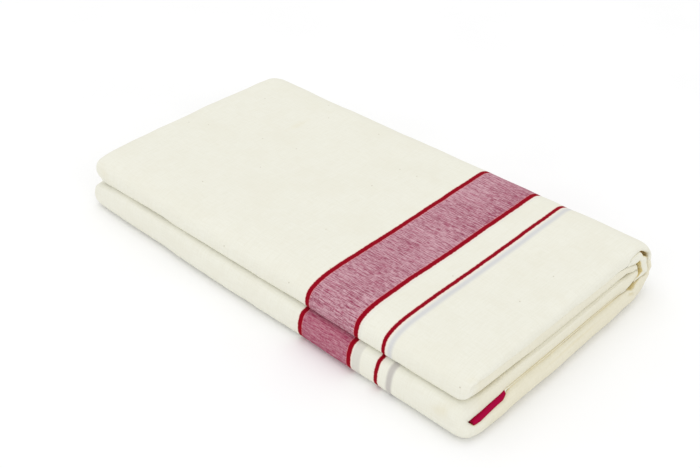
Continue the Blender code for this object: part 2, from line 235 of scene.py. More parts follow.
# At the left near corner the lower stack sinks and the gap opens
SINK_SHARE = 0.16
SINK_CENTRE = (-214.0, -112.0)
SINK_REACH = (26.0, 40.0)

# Shift that puts the origin midway between the near and the far side
CENTRE_SHIFT_Y = 0.45

# Soft waves all over, and finer ones drawn out along the short ends' noses. The noise
# itself reaches about 0.6, and the gain brings that to about 1
NOISE_GAIN = 1.6
CLOTH_WAVES = (
    # share of the unevenness, length, seed
    (1.0, 46.0, 2.0),
    (0.45, 17.0, 7.0),
)
END_WAVE_HEIGHT = 0.22
END_WAVE_LENGTH = 6.5
END_WAVE_SEED = 4.0
END_WAVE_REACH = (16.0, 4.0)
END_WAVE_DRAWN = (1.0, 0.2, 1.0)
END_X = 217.0
# The underside stays flat: waves and creases grow in between these heights
RELIEF_FROM = (0.4, 5.0)

# Creases given one by one: a soft trough (or, below zero, a ridge) along a line. The taper
# keeps some of its depth at both ends
CREASE_TAPER = (0.08, 0.92)
CREASES = (
    # x, y, z to x, y, z, width, depth
    ((-121.0, 36.0, 50.0), (-121.0, 64.0, 50.0), 1.8, 0.3),
    ((203.0, -106.0, 43.5), (206.5, -99.0, 40.6), 1.8, 1.0),
    ((200.0, -118.0, 17.0), (210.0, -109.0, 20.0), 6.0, -1.0),
    ((187.0, -119.5, 13.0), (196.0, -115.0, 23.0), 4.0, 0.7),
    ((206.8, -96.0, 36.4), (206.8, 30.0, 35.0), 0.9, 0.25),
    ((210.4, -66.0, 22.0), (210.0, 70.0, 22.0), 1.3, 0.25),
    ((215.8, -64.0, 14.8), (214.8, 76.0, 14.6), 1.5, 1.0),
    ((217.0, -60.0, 7.0), (216.0, 50.0, 7.0), 1.0, 0.3),
    ((215.0, -106.0, 6.5), (216.0, -80.0, 7.0), 1.4, 0.7),
    ((214.4, 80.0, 16.4), (215.0, 90.0, 11.0), 1.4, 1.8),
    ((207.0, 112.0, 13.0), (209.0, 121.0, 9.0), 2.2, -1.8),
    ((-205.0, -110.0, 40.0), (-190.0, -112.0, 32.0), 3.0, 0.5),
    ((-208.0, -60.0, 38.0), (-214.0, 20.0, 37.0), 1.1, 0.3),
    ((-216.0, -80.0, 9.0), (-216.0, 50.0, 8.0), 1.0, 0.3),
    ((60.0, 119.0, 36.0), (90.0, 120.0, 30.0), 3.0, 0.5),
    ((-150.0, 120.0, 18.0), (-110.0, 119.5, 24.0), 3.5, 0.5),
)

# Painted shade: where the outer cloth is tinted a yellower cream for the shade deep in a fold.
# Depths are behind the crest of a nose, and in the gap behind GAP_SHADE_X; the lowest layer's lean
# doesn't count
LIP_SHADE_DEPTH = (0.6, 4.5)
GAP_DEPTH = (1.0, 6.0)
GAP_SHADE_X = 205.0
MOUTH_EDGE = 2.0
LEAN_Y = 85.0
LEAN_LEFT = 1.9
# Painted shade: shares of the yellower tint in creases, on the noses beside the gap at the right end,
# and low on the right end's lowest layer
WARM_CREASES = 0.45
WARM_NOSES = 0.15
WARM_LOWEST = 0.24
WARM_LOWEST_Y = (-118.0, -85.0)
WARM_END_X = (200.0, 207.0)

# Folds that show in the slits
FOLD_ROOT = 7.2
FOLD_CLEARANCE = -0.05
FOLD_NOSE_POINTS = 17
STATION_STEP = 1.6
STRIPED_RECESS = (
    # place, how far the nose lies behind the crest line
    (-106.0, 0.7), (84.0, 0.8), (92.0, 1.6), (103.0, 3.6), (118.0, 5.0), (133.0, 4.4),
    (149.0, 2.4), (157.0, 1.6), (161.0, 2.4), (165.0, 2.4), (170.0, 0.6), (318.0, 0.5),
    (330.0, 0.3), (355.0, 0.3), (365.0, 0.6),
)
SECOND_RECESS = (
    # place, how far the nose lies behind the crest line
    (84.0, 0.1), (99.0, 0.2), (105.0, 0.6), (118.0, 0.9), (131.0, 0.6), (138.0, 1.4),
    (146.0, 1.0), (159.0, 1.4),
)
SECOND_TOP = (
    # place, outer side of the second fold: it leaves a dark pocket at the top of the turn
    (82.0, 10.0), (84.5, 11.7), (87.0, 14.7), (91.0, 15.6), (95.5, 15.9), (99.0, 15.6),
    (103.0, 14.2), (107.0, 13.0), (111.0, 12.4), (115.0, 13.6), (118.0, 15.0), (121.0, 16.6),
    (125.5, 16.9), (131.0, 17.7), (136.0, 19.0), (139.0, 16.4), (142.0, 12.2), (146.0, 10.2),
    (151.0, 9.2), (156.0, 8.9), (159.0, 9.7),
)
SECOND_SPAN = (82.0, 159.0)
FOLD_LEAST = 0.2
LEFT_RECESS = 2.4
LENS_START_Y = -74.0
TINY = 1e-6

# The same in metres, for the nodes: how deep a nose's rounding goes at most, the recess from
# which its sides take all of the painted shade, and the softness of the crimson's ends
FOLD_BULGE = 0.0012
FLUSH_RECESS = 0.0009
LENS_SOFT = 0.001
# How nearly shares are equal, and how close to a nose's sides its painted shade keeps
SHARE_MARGIN = 0.001
BESIDE_POWER = 6.0
FOLD_SOCKETS = (
    # name, way, kind
    ("Path", "INPUT", "Geometry"),
    ("Nose points", "INPUT", "Int"),
    ("Root depth", "INPUT", "Float"),
    ("Outward sign", "INPUT", "Float"),
    ("Roundness", "INPUT", "Float"),
    ("Ruffle height", "INPUT", "Float"),
    ("Ruffle length", "INPUT", "Float"),
    ("Seed", "INPUT", "Int"),
    ("Cloth", "INPUT", "Material"),
    ("Fold", "OUTPUT", "Geometry"),
)

# Threads: real ones lie 0.4 mm apart, too fine to show at this size. Those of the plain
# cloth are drawn about 1 mm apart, and the band's in streaks of that width
THREADS = {
    # length along and width across the cloth in mm, detail, seed
    "weft": (14.0, 0.9, 2.0, 3.1),
    "warp": (1.0, 16.0, 2.0, 8.4),
    "cloud": (45.0, 35.0, 3.0, 5.7),
    "edge": (1000.0, 1.6, 1.0, 12.3),
    "fine": (5.5, 0.75, 2.0, 21.7),
    "long": (30.0, 1.1, 1.0, 33.1),
    "cross": (0.8, 4.5, 1.0, 41.9),
    "broad": (50.0, 60.0, 2.0, 52.3),
    "flame": (12.0, 1.2, 2.0, 63.7),
}
BUMP_STRENGTH = 0.35
BUMP_HEIGHT = 0.0003

# Shades: from and to in a pattern, then the other colour's share at each
SLUBS = (0.75, 1.35, 0.0, 0.35)
CLOUDS = (0.40, 0.72, 0.0, 0.30)
# How the painted shade of the hidden layers is mixed in by the weft
DEEP_SHADE_MIX = (0.2, 0.8, 0.75, 1.0)
BAND_THREADS = (0.82, 1.52, 0.0, 1.0)
BAND_FLAMES = (0.52, 0.72, 0.0, 0.30)
CRIMSON_SHADE = (0.35, 0.75, 0.0, 0.4)
FOLD_SHADE = (0.35, 0.7, 0.0, 0.45)
BOARD_MOTTLE = (0.3, 0.7, 0.0, 1.0)
# Kinds of streaks that join the band's fine ones, and their shares
BAND_GRAIN = (("long", 0.6), ("cross", 0.35), ("broad", 0.4))

# Colours that no setting changes
WHITE = "#FFFFFF"
SLUB_CREAM = "#DFDCCB"
CLOUD_CREAM = "#E3E0D0"
HUSK = "#A89C86"
# Tint of the painted shade in folds
PAINTED_FOLD_SHADE = "#EEDCA8"
FLAME_CRIMSON = "#AE3C66"
# Colour of the painted shade on the lower stack's band
SHADED_BAND_CRIMSON = "#9C1E4C"
SHADED_CRIMSON = "#7F0418"
BLED_DYE = "#F29A9A"
FOLD_CRIMSON = "#A80A3E"
FOLD_CRIMSON_SHADED = "#8A0630"
BOARD_WHITE = "#FBFBFB"
BOARD_GREY = "#F8F8F8"

# Seed flecks: spacing of their cells in mm, a fleck's edge from its middle as shares of a
# cell, the random value from which a cell has a fleck, and how strongly it shows
FLECK_SPACING = 18.18
FLECK_EDGE = (0.022, 0.045)
FLECK_CHOICE = (0.90, 0.92)
FLECK_SHARE = 0.45

# The border, in metres. Lengths round the section where the spine is passed
ROUND_SPINE = (0.40, 0.47)
# From and to along the cloth, and how far the border shifts there for each metre of Y
BORDER_SLOPE = (0.054, 0.109, 0.0150, 0.0055)
LOWER_BORDER_SHIFT = -0.0003
# A crimson edge's comb and its slow wandering: from and to in the noise, then the shifts
COMB_HALF = 0.0005
COMB_SLOPE = 0.35
EDGE_WANDER = (0.3, 0.7, -0.00018, 0.00010)
# From and to in Y on the lower stack, and how much painted shade darkens the band at each
BAND_SHADE_SPAN = (-0.1205, -0.1140, 0.38, 0.52)
CRIMSON_SOFT = 0.0003
BAND_SOFT = 0.0004
# Dye that bled out beside the crimson
BLEED_REACH = 0.0005
BLEED_SOFT = 0.0006
BLEED_SHARE = 0.4
# The inner layer's stripes show faintly on top, and more strongly on the lower stack
GHOSTS = (
    # from, to, softness, share on the upper stack, share on the lower stack
    (0.1365, 0.1406, 0.0018, 0.62, 0.0),
    (0.1095, 0.1112, 0.0012, 0.16, 0.0),
    (0.1096, 0.1172, 0.0014, 0.0, 0.40),
    (0.1424, 0.1474, 0.0014, 0.0, 0.85),
)

# Shaders: handwoven cotton is matt with a faint nap, and the board has no shine
COTTON = {"Roughness": 0.92, "Specular IOR Level": 0.015, "Sheen Weight": 0.02,
          "Sheen Roughness": 0.55}
BOARD = {"Roughness": 0.95, "Specular IOR Level": 0.1}
# Width of the board's patches, in mm
BOARD_PATCH = 166.7

# Settings that nodes share: a soft map range, and a mix of colours with its output
SMOOTH = {"interpolation_type": "SMOOTHSTEP"}
COLOUR = {"data_type": "RGBA", "output": 2}

# Stage, in metres, with the lens and sensor in mm. The camera is fitted to the photo's
# straight edges
CAMERA_PLACE = (0.49175, -0.52217, 0.50662)
CAMERA_AIM = (-0.01446, 0.00769, 0.0)
CAMERA_LENS = 52.89
CAMERA_SENSOR = 36.0
CAMERA_NEAREST = 0.01
LAMPS = (
    # name, place, size, share of the lamp power
    ("lamp overhead", (-0.4, 0.2, 2.2), 2.6, 1.0),
    ("lamp at the right", (2.2, -0.6, 1.2), 1.8, 0.68),
    ("lamp in front", (-0.4, -2.5, 0.6), 1.8, 0.60),
)


def linear(code):
    """An sRGB hex colour as linear RGBA."""
    channels = [int(code[place:place + 2], 16) / 255 for place in (1, 3, 5)]
    light = [c / 12.92 if c <= 0.04045 else ((c + 0.055) / 1.055) ** 2.4 for c in channels]
    return (*light, 1.0)


class ClothSettings(bpy.types.PropertyGroup):
    """Sizes and colours of the cloth"""
    wall: bpy.props.FloatProperty(
        name="Wall", description="Thickness of the outer cloth", default=0.0012, unit="LENGTH")
    unevenness: bpy.props.FloatProperty(
        name="Unevenness", description="Height of the cloth's gentle waves", default=0.0005,
        unit="LENGTH")
    cream: bpy.props.FloatVectorProperty(
        name="Cream", description="Unbleached cotton in the light", size=4, subtype="COLOR",
        default=linear("#E9E8DC"))
    # Painted shade: a darker, yellower cream stands in for the shade on layers deep in the folds
    cream_in_shade: bpy.props.FloatVectorProperty(
        name="Cream in painted shade", description="Unbleached cotton deep in a fold", size=4,
        subtype="COLOR", default=linear("#DDBE74"))
    crimson: bpy.props.FloatVectorProperty(
        name="Crimson", description="Solid crimson stripes", size=4, subtype="COLOR",
        default=linear("#93061C"))
    band_dark: bpy.props.FloatVectorProperty(
        name="Band, dark threads", description="Darkest threads of the mixed band", size=4,
        subtype="COLOR", default=linear("#8E4058"))
    band_light: bpy.props.FloatVectorProperty(
        name="Band, light threads", description="Lightest threads of the mixed band", size=4,
        subtype="COLOR", default=linear("#D0A9B2"))
    ghost: bpy.props.FloatVectorProperty(
        name="Show-through", description="Where a stripe of the layer below shows faintly",
        size=4, subtype="COLOR", default=linear("#BBB6B2"))
    ghost_upper: bpy.props.FloatVectorProperty(
        name="Show-through, upper stack", description="The same on the upper stack, a bluer grey",
        size=4, subtype="COLOR", default=linear("#C4C5CD"))


class BorderSettings(bpy.types.PropertyGroup):
    """Places of the border's stripes, from the middle of the pad"""
    band_start: bpy.props.FloatProperty(
        name="Band start", description="Outer edge of the first crimson stripe", default=0.0539,
        unit="LENGTH")
    band_end: bpy.props.FloatProperty(
        name="Band end", description="Outer edge of the second crimson stripe", default=0.10875,
        unit="LENGTH")
    edge_stripe: bpy.props.FloatProperty(
        name="Edge stripe", description="Width of the band's two crimson stripes", default=0.0041,
        unit="LENGTH")
    thin_start: bpy.props.FloatProperty(
        name="Thin stripe start", description="Where the thin crimson stripe starts",
        default=0.1311, unit="LENGTH")
    thin_stripe: bpy.props.FloatProperty(
        name="Thin stripe", description="Width of the thin crimson stripe", default=0.0033,
        unit="LENGTH")


class FoldSettings(bpy.types.PropertyGroup):
    """The folds that show in the slits at the short ends"""
    wall: bpy.props.FloatProperty(
        name="Wall", description="Thickness of a fold's cloth", default=0.0006, unit="LENGTH")
    ruffle_height: bpy.props.FloatProperty(
        name="Ruffle height", description="How far a fold's nose wanders in and out",
        default=0.0004, unit="LENGTH")
    ruffle_length: bpy.props.FloatProperty(
        name="Ruffle length", description="Length of one wave of a fold's nose", default=0.022,
        unit="LENGTH")
    roundness: bpy.props.FloatProperty(
        name="Roundness", description="How round a fold's nose is: 1 is a half circle",
        default=0.6)
    seed: bpy.props.IntProperty(
        name="Seed", description="Changes where the ruffles lie", default=3)


class StageSettings(bpy.types.PropertyGroup):
    """Floor and light"""
    floor_size: bpy.props.FloatProperty(
        name="Floor size", description="Side of the floor", default=6.0, unit="LENGTH")
    lamp_power: bpy.props.FloatProperty(
        name="Lamp power", description="Power of the large soft lamp overhead", default=10.0,
        unit="POWER")
    sky: bpy.props.FloatProperty(
        name="Sky", description="Strength of the even light all round", default=0.868)


def smoothstep(low, high, value):
    """A smooth step from 0 at low to 1 at high."""
    share = np.clip((np.asarray(value, dtype=float) - low) / (high - low), 0.0, 1.0)
    return share * share * (3.0 - 2.0 * share)


def read_table(rows, key, column=1):
    """Straight-line reading of one column of a table by its first."""
    columns = np.array(rows)
    return np.interp(key, columns[:, 0], columns[:, column])


def bunched(shares, bunching):
    """Shares from 0 to 1, drawn towards both ends: 0 leaves them even."""
    return shares - bunching * np.sin(2.0 * np.pi * shares) / (2.0 * np.pi)


def smooth_run(rows, count, bunching=0.0):
    """Points along a smooth curve through the rows, spread evenly or towards its ends."""
    rows = np.array(rows, dtype=float)
    knots = np.vstack([2 * rows[0] - rows[1], rows, 2 * rows[-1] - rows[-2]])
    result = []
    for place in bunched(np.linspace(0.0, 1.0, count), bunching) * (len(rows) - 1):
        span = min(int(place), len(rows) - 2)
        t = place - span
        a, b, c, d = knots[span:span + 4]
        result.append(0.5 * (2 * b + (c - a) * t + (2 * a - 5 * b + 4 * c - d) * t * t
                             + (3 * b - a - 3 * c + d) * t ** 3))
    return np.array(result)


def arc(centre, radius, start, stop, count):
    """Points of an arc in the section, angles in degrees from +Y."""
    angles = np.radians(np.linspace(start, stop, count))
    return np.stack([centre[0] + radius * np.cos(angles), centre[1] + radius * np.sin(angles)], 1)


def flat_run(start, stop, count):
    """Points along a straight run, without its two ends and denser near them."""
    shares = bunched((np.arange(count) + 1)[:, None] / (count + 1), ARM_BUNCHING)
    return np.array(start) + (np.array(stop) - np.array(start)) * shares


def section():
    """The pad's outline: y, z, whether in the upper stack, whether on the gap's side."""
    spine = arc((SPINE_CENTRE_Y, SPINE_CENTRE_Z), SPINE_RADIUS, 90, -90, SPINE_POINTS)
    crease = arc((SPINE_CENTRE_Y, GAP_Z), GAP_HALF, -90, 90, CREASE_POINTS)
    upper_nose = smooth_run(UPPER_NOSE, NOSE_POINTS)
    lower_nose = smooth_run(LOWER_NOSE, NOSE_POINTS)
    top = smooth_run((UPPER_NOSE[-1],) + TOP + (tuple(spine[0]),), TOP_POINTS, TOP_BUNCHING)[1:-1]
    lower_mouth = np.array([[GAP_MOUTH_Y, GAP_Z - GAP_HALF]])
    upper_mouth = np.array([[GAP_MOUTH_Y, GAP_Z + GAP_HALF]])
    runs = (
        (upper_nose, 1, False),
        (top, 1, False),
        (spine, None, False),
        (flat_run(spine[-1], lower_nose[0], UNDERSIDE_POINTS), 0, False),
        (lower_nose, 0, False),
        (np.vstack([lower_mouth, flat_run(lower_mouth[0], crease[0], GAP_POINTS)]), 0, True),
        (crease, None, True),
        (np.vstack([flat_run(crease[-1], upper_mouth[0], GAP_POINTS), upper_mouth]), 1, True),
    )
    points = np.vstack([run for run, _, _ in runs])
    upper = np.concatenate([run[:, 1] > GAP_Z if up is None else np.full(len(run), bool(up))
                            for run, up, _ in runs])
    inner = np.concatenate([np.full(len(run), side) for run, _, side in runs])
    return points[:, 0], points[:, 1], upper, inner


def inward(y, z):
    """Unit directions into the cloth at each point of the closed outline."""
    dy = np.roll(y, -1) - np.roll(y, 1)
    dz = np.roll(z, -1) - np.roll(z, 1)
    length = np.hypot(dy, dz)
    return dz / length, -dy / length


def slit_rows(right):
    """The slit's table, read smoothly: one row of values for each sample."""
    rows = smooth_run(RIGHT_SLIT if right else LEFT_SLIT, SLIT_SAMPLES)
    rows[:, 0] = np.maximum.accumulate(rows[:, 0])
    return rows


def slit_place(y, z, upper):
    """How far along the slit each point of the outline lies."""
    angle = np.arctan2(z - GAP_Z, y - SPINE_CENTRE_Y)
    turn = TURN_START + TURN_LENGTH * (0.5 - angle / math.pi)
    arm = np.where(upper, y, TURN_END + SPINE_CENTRE_Y - y)
    return np.where(y > SPINE_CENTRE_Y, turn, arm)


def slit_station(place, right):
    """At places along the slit: its middle and outward direction, then the distances of its
    outer edge, the folds' seam and its inner edge from the middle of the gap, and both depths."""
    rows = slit_rows(right)
    place = np.clip(place, rows[0, 0], rows[-1, 0])
    values = [np.interp(place, rows[:, 0], rows[:, column]) for column in range(1, 6)]
    middle = (values[0] + values[2]) / 2
    angle = math.pi * (0.5 - (place - TURN_START) / TURN_LENGTH)
    before, after = place < TURN_START, place > TURN_END
    out_y = np.where(before | after, 0.0, np.cos(angle))
    out_z = np.where(before, 1.0, np.where(after, -1.0, np.sin(angle)))
    base_y = np.where(before, place, np.where(after, TURN_END + SPINE_CENTRE_Y - place,
                                              SPINE_CENTRE_Y))
    return (base_y + out_y * middle, GAP_Z + out_z * middle, out_y, out_z, *values)


def crest_x(y, z, right):
    """How far out a nose's crest lies at one short end."""
    crest, skew, heights, corners, sign = (
        (RIGHT_CREST, RIGHT_SKEW, RIGHT_SKEW_Z, RIGHT_CORNERS, 1.0) if right else
        (LEFT_CREST, LEFT_SKEW, LEFT_SKEW_Z, LEFT_CORNERS, -1.0))
    low, full, still, high = RIGHT_BULGE_Z
    bulge = read_table(RIGHT_BULGE, y) * smoothstep(low, full, z) * smoothstep(high, still, z)
    return (read_table(crest, z) + read_table(skew, y) * smoothstep(*heights, z)
            + (bulge if right else 0.0) - sign * read_table(corners, y))


def lip_target(y, z, upper, inner_side, right, inset):
    """Where a lip that starts at (y, z) ends, beside the slit, and how deep it goes."""
    slit_y, slit_z, _, _, outer, _, inner, outer_depth, inner_depth = slit_station(
        slit_place(y, z, upper), right)
    half = (outer - inner) / 2 + inset
    distance = np.hypot(y - slit_y, z - slit_z)
    return (slit_y + (y - slit_y) * half / distance, slit_z + (z - slit_z) * half / distance,
            np.where(inner_side, inner_depth, outer_depth))


def warp(points):
    """The pad's gentle unevenness; the underside stays flat. Millimetres to metres."""
    x, y, z = points[..., 0], points[..., 1], points[..., 2]
    lift = np.ones_like(x)
    for share, centre_x, centre_y, reach_x, reach_y in HEIGHT_WAVES:
        lift += share * np.exp(-((x - centre_x) / reach_x) ** 2 - ((y - centre_y) / reach_y) ** 2)
    sink_x = (x - SINK_CENTRE[0]) / SINK_REACH[0]
    sink_y = (y - SINK_CENTRE[1]) / SINK_REACH[1]
    below_gap = smoothstep(GAP_Z + GAP_HALF, GAP_Z - GAP_HALF, z)
    lift -= SINK_SHARE * below_gap * np.exp(-sink_x ** 2 - sink_y ** 2)
    near = smoothstep(*NEAR_SIDE_Y, y) * smoothstep(*NEAR_SIDE_Z, z)
    shift = np.zeros_like(x)
    for depth, centre_x, reach_x in SIDE_WAVES:
        shift += depth * np.exp(-((x - centre_x) / reach_x) ** 2)
    return np.stack([x, y + shift * near + CENTRE_SHIFT_Y, z * lift], -1) * MM


def wall_rings(inset):
    """Rings of the outer cloth, from the left slit over the body to the right one, in mm."""
    y, z, upper, inner = section()
    in_y, in_z = inward(y, z)
    pinched = np.where(inner, np.where(upper, 1.0, -1.0) * (read_table(PINCH, y) - GAP_HALF), 0.0)
    ends = {}
    for right in (False, True):
        sign = 1.0 if right else -1.0
        end_z = z + pinched if right else z
        wall_y, wall_z = y + in_y * inset, end_z + in_z * inset
        goal_y, goal_z, groove = lip_target(y, end_z, upper, inner, right, inset)
        crest = crest_x(y + CREST_FRACTION * (goal_y - y),
                        end_z + CREST_FRACTION * (goal_z - end_z), right)
        rolls = RIGHT_GAP_ROLL if right else LEFT_GAP_ROLL
        beside_gap = np.where(upper, read_table(rolls, y, 2), read_table(rolls, y, 1))
        roll = np.where(inner, beside_gap, ROLL_LENGTH)
        rings = []
        for angle in np.linspace(0.0, math.pi, LIP_STEPS):
            if angle <= math.pi / 2:
                share = CREST_FRACTION * (1.0 - math.cos(angle))
                back = (roll - inset) * (1.0 - math.sin(angle))
            else:
                turn = angle - math.pi / 2
                share = CREST_FRACTION + (1.0 - CREST_FRACTION) * math.sin(turn)
                back = groove * (1.0 - math.cos(turn))
            rings.append(np.stack([crest - sign * (back + inset),
                                   wall_y + (goal_y - wall_y) * share,
                                   wall_z + (goal_z - wall_z) * share], -1))
        for step in range(1, LIP_TAIL + 1):
            tail = rings[LIP_STEPS - 1].copy()
            tail[:, 0] -= sign * step * TAIL_STEP
            rings.append(tail)
        ends[right] = rings
    low, high = ends[False][0], ends[True][0]
    body = []
    for index in range(1, BODY_RINGS + 1):
        ring = low + (high - low) * index / (BODY_RINGS + 1)
        away = smoothstep(0.0, PINCH_REACH, high[:, 0] - ring[:, 0])
        ring[:, 1] = low[:, 1]
        ring[:, 2] = high[:, 2] + (low[:, 2] - high[:, 2]) * away
        body.append(ring)
    return np.array(list(reversed(ends[False])) + body + ends[True])


def grid_normals(points):
    """Outward unit normals of a grid of rings that closes round its second direction."""
    along = np.gradient(points, axis=0)
    around = np.roll(points, -1, axis=1) - np.roll(points, 1, axis=1)
    cross = np.cross(along, around)
    length = np.linalg.norm(cross, axis=-1, keepdims=True)
    return cross / np.maximum(length, TINY)


def segment_distance(points, start, stop):
    """Distance of each point from a segment, in mm, and its share along it."""
    start, stop = np.array(start), np.array(stop)
    line = stop - start
    share = np.clip(((points - start) @ line) / (line @ line), 0.0, 1.0)
    return np.linalg.norm(points - (start + share[..., None] * line), axis=-1), share


def wave_height(points, length, seed):
    """Soft seeded waves of the given length in mm, from about -1 to 1."""
    flat = (points / length).reshape(-1, 3)
    values = [noise.noise(Vector((x + seed, y - seed, z))) for x, y, z in flat]
    return np.array(values).reshape(points.shape[:-1]) * NOISE_GAIN


def cloth_relief(points, inner, unevenness):
    """How far the cloth stands off its plain form, and how deep its creases are, in mm."""
    relief = unevenness * sum(share * wave_height(points, length, seed)
                              for share, length, seed in CLOTH_WAVES)
    at_end = smoothstep(*END_WAVE_REACH, END_X - np.abs(points[..., 0]))
    relief += END_WAVE_HEIGHT * at_end * wave_height(
        points * np.array(END_WAVE_DRAWN), END_WAVE_LENGTH, END_WAVE_SEED)
    pressed = np.zeros_like(relief)
    for start, stop, width, depth in CREASES:
        distance, share = segment_distance(points, start, stop)
        taper = np.sin(np.pi * np.clip(share, *CREASE_TAPER))
        dip = depth * taper * np.exp(-(distance / width) ** 2)
        relief -= dip
        pressed = np.maximum(pressed, dip)
    free = smoothstep(*RELIEF_FROM, points[..., 2]) * np.where(inner, 0.0, 1.0)
    return relief * free, pressed


def painted_shade_share(outside, pressed):
    """Painted shade: how deep in a fold each point of the outer cloth lies, from 0 to 1, for its
    colour.
    """
    y, z, upper, inner = section()
    x = outside[..., 0]
    reach = np.abs(x)
    past = np.concatenate([np.linspace(0.0, 1.0, LIP_STEPS) > 0.5, np.ones(LIP_TAIL)])
    past = np.concatenate([past[::-1], np.zeros(BODY_RINGS), past])
    crest = LIP_TAIL + LIP_STEPS // 2
    behind = np.where(x > 0.0, reach[len(reach) - crest - 1], reach[crest]) - reach
    # The lowest layer leans back at the right end without going into a fold
    groove = lip_target(y, z, upper, inner, True, 0.0)[2]
    leaning = ~inner & ~upper & (y < LEAN_Y)
    lean = np.where(leaning, np.maximum(groove - LEAN_LEFT, 0.0), 0.0)
    behind = np.where(x > 0.0, behind - lean, behind)
    painted_shade = smoothstep(*LIP_SHADE_DEPTH, behind) * past[:, None]
    between = np.where(inner & (y > GAP_MOUTH_Y + MOUTH_EDGE), 1.0, 0.0)
    painted_shade = np.maximum(painted_shade, smoothstep(*GAP_DEPTH, GAP_SHADE_X - reach) * between)
    painted_shade = np.maximum(painted_shade, WARM_CREASES * np.clip(pressed, 0.0, 1.0))
    lowest = WARM_LOWEST * smoothstep(*WARM_LOWEST_Y, y)
    warm = np.where(inner, WARM_NOSES, np.where(upper, 0.0, lowest))
    return np.maximum(painted_shade, warm * smoothstep(*WARM_END_X, x))


def shell_mesh(name, outside, inside, u, v, painted_shade):
    """A closed thin wall from an outer and an inner grid of rings, with its woven map."""
    rings, around = outside.shape[:2]
    size = rings * around
    vertices = np.vstack([outside.reshape(-1, 3), inside.reshape(-1, 3)])
    index = np.arange(size).reshape(rings, around)
    after = np.roll(index, -1, axis=1)
    outer = np.stack([index[:-1], index[1:], after[1:], after[:-1]], -1).reshape(-1, 4)
    left_rim = np.stack([index[0], after[0], after[0] + size, index[0] + size], -1)
    right_rim = np.stack([index[-1], index[-1] + size, after[-1] + size, after[-1]], -1)
    faces = np.vstack([outer, outer[:, ::-1] + size, left_rim, right_rim])
    mesh = bpy.data.meshes.new(name)
    mesh.from_pydata(vertices.tolist(), [], faces.tolist())
    corner_vertices = np.empty(len(mesh.loops), dtype=np.int64)
    mesh.loops.foreach_get("vertex_index", corner_vertices)
    ring, place = np.divmod(corner_vertices % size, around)
    v_corner = v[place].reshape(-1, 4)
    seam = (v_corner.max(axis=1) - v_corner.min(axis=1)) > 0.5 * v[-1]
    v_corner[seam] = np.where(v_corner[seam] < 0.5 * v[-1], v_corner[seam] + v[-1], v_corner[seam])
    layer = mesh.uv_layers.new(name="weave")
    layer.data.foreach_set("uv", np.stack([u[ring, place], v_corner.reshape(-1)], -1).ravel())
    # The painted shade goes on both walls
    shade = mesh.attributes.new("painted_shade", "FLOAT", "POINT")
    shade.data.foreach_set("value", np.concatenate([painted_shade.ravel(), painted_shade.ravel()]))
    mesh.shade_smooth()
    mesh.validate()
    return mesh


def new_piece(name, mesh, material):
    """Link a finished mesh as a piece at the origin."""
    mesh.materials.clear()
    mesh.materials.append(material)
    piece = bpy.data.objects.new(name, mesh)
    bpy.context.scene.collection.objects.link(piece)
    return piece


def node(tree, kind, inputs=(), output=0, **settings):
    """Add a node with its settings and links, and give one of its outputs.

    Inputs go in order or by their keys, and each is a value or another node's output.
    """
    made = tree.nodes.new(kind)
    for key, value in settings.items():
        setattr(made, key, value)
    keyed = inputs if isinstance(inputs, dict) else dict(enumerate(inputs))
    for key, value in keyed.items():
        if isinstance(value, bpy.types.NodeSocket):
            tree.links.new(value, made.inputs[key])
        else:
            made.inputs[key].default_value = value
    return made.outputs[output] if made.outputs else None


def threads(tree, place, name):
    """Seeded streaks of a kind in THREADS: noise drawn out along and across the cloth."""
    along, across, detail, seed = THREADS[name]
    scaled = node(tree, "ShaderNodeMapping",
                  {"Vector": place, "Location": (seed, seed * 0.7, 0.0),
                   "Scale": (1.0 / (along * MM), 1.0 / (across * MM), 1.0)})
    return node(tree, "ShaderNodeTexNoise",
                {"Vector": scaled, "Scale": 1.0, "Detail": detail, "Roughness": 0.6},
                noise_dimensions="2D")


def stripe(tree, along, low, high, soft):
    """A mask that is 1 between low and high, with soft edges."""
    rise = node(tree, "ShaderNodeMapRange", (along, low - soft, low + soft, 0.0, 1.0), **SMOOTH)
    fall = node(tree, "ShaderNodeMapRange", (along, high - soft, high + soft, 1.0, 0.0), **SMOOTH)
    return node(tree, "ShaderNodeMath", (rise, fall), operation="MULTIPLY")


def dyed(tree, pattern, shade, below, above):
    """Lay a colour over another by a pattern, as a shade's four numbers say."""
    mask = node(tree, "ShaderNodeMapRange", (pattern, *shade), **SMOOTH)
    return node(tree, "ShaderNodeMix", {0: mask, 6: below, 7: above}, **COLOUR)


def laid(tree, mask, strength, below, above):
    """Lay a colour over another by a mask times a strength."""
    share = node(tree, "ShaderNodeMath", (mask, strength), operation="MULTIPLY")
    return node(tree, "ShaderNodeMix", {0: share, 6: below, 7: above}, **COLOUR)


